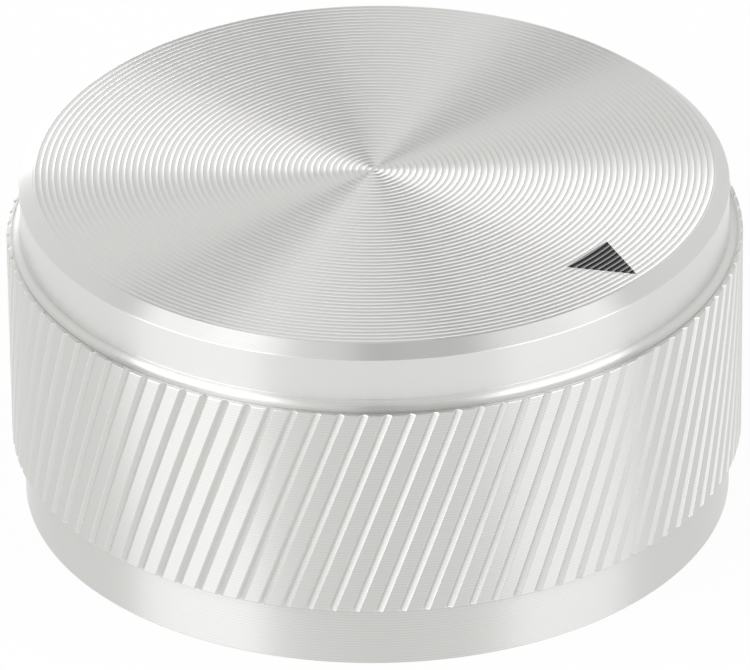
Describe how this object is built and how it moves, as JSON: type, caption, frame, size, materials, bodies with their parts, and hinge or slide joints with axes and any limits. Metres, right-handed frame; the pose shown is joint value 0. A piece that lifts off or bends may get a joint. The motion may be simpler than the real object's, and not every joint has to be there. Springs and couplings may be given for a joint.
{
  "type": "rotary knob",
  "caption": "Round turned aluminium control knob with a ringed flat face, a spirally knurled grip band, a printed pointer and a blind shaft bore held by a set screw.",
  "frame": {"origin": "centre of the knob's panel side, on the shaft axis", "axes": "+Z along the shaft axis, from the panel towards the spun face; +X towards the pointer; the set screw is on the -X side"},
  "size_m": [0.04, 0.04, 0.0194],
  "materials": {
    "turned_aluminium": "fine turned, clear anodised",
    "black_steel": "black oxide",
    "black_ink": "printed ink"
  },
  "bodies": {
    "root": {"knob_body": "turned_aluminium", "set_screw": "black_steel", "pointer_mark": "black_ink"}
  },
  "joints": []
}
